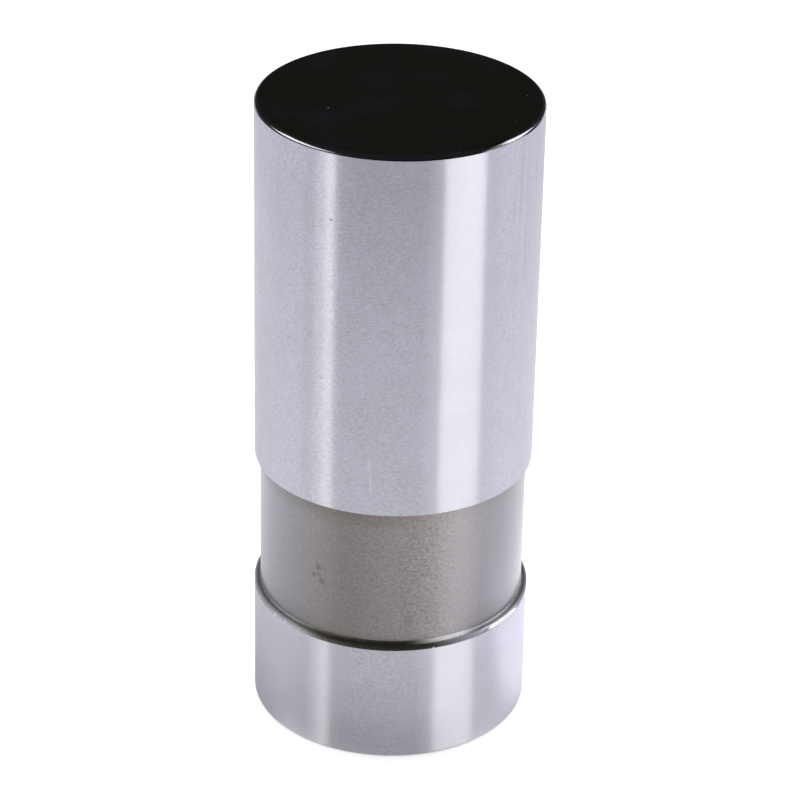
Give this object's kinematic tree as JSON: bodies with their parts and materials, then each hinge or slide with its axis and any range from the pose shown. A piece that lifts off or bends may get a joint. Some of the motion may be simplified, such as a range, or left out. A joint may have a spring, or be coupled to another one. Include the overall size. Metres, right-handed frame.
{
  "type": "hydraulic flat tappet valve lifter",
  "caption": "Hydraulic valve lifter: a ground steel cup with a crowned cam face, holding a sprung plunger, check valve and pushrod seat that take up valve-train lash.",
  "frame": {"origin": "on the axis, in the plane of the open rim that the lifter stands on", "axes": "+Z along the axis from the open end up to the cam face; +Y through the oil feed hole"},
  "size_m": [0.0214, 0.0214, 0.0507],
  "materials": {
    "ground_steel": "centreless-ground hardened iron, with a matte turned oil band and a polished dark cam face",
    "ring_wire": "oiled spring wire",
    "hardened_seat": "turned and hardened, polished in the socket",
    "disc_steel": "blanked and tumbled",
    "plunger_steel": "fine ground",
    "ball_steel": "lapped and bright",
    "pressed_sheet": "pressed sheet, satin",
    "fine_spring_wire": "drawn wire",
    "spring_wire": "drawn wire with ground ends"
  },
  "bodies": {
    "cup": {"lifter_body": "ground_steel", "retaining_ring": "ring_wire", "plunger_spring": "spring_wire"},
    "plunger_unit": {"plunger": "plunger_steel", "pushrod_seat": "hardened_seat", "check_ball_cage": "pressed_sheet", "check_ball_spring": "fine_spring_wire"},
    "metering_disc_unit": {"metering_disc": "disc_steel"},
    "ball": {"check_ball": "ball_steel"}
  },
  "joints": [
    {"name": "plunger_slide", "type": "slide", "parent": "cup", "child": "plunger_unit", "axis": [0, 0, 1], "range_m": [0, 0.0043], "stiffness_N_per_m": 4500, "springref_m": -0.004, "deforming": ["plunger_spring"]},
    {"name": "metering_disc_lift", "type": "slide", "parent": "plunger_unit", "child": "metering_disc_unit", "axis": [0, 0, 1], "range_m": [0, 0.0003]},
    {"name": "check_ball_lift", "type": "slide", "parent": "plunger_unit", "child": "ball", "axis": [0, 0, 1], "range_m": [0, 0.0004], "stiffness_N_per_m": 100, "springref_m": -0.001, "deforming": ["check_ball_spring"]}
  ]
}
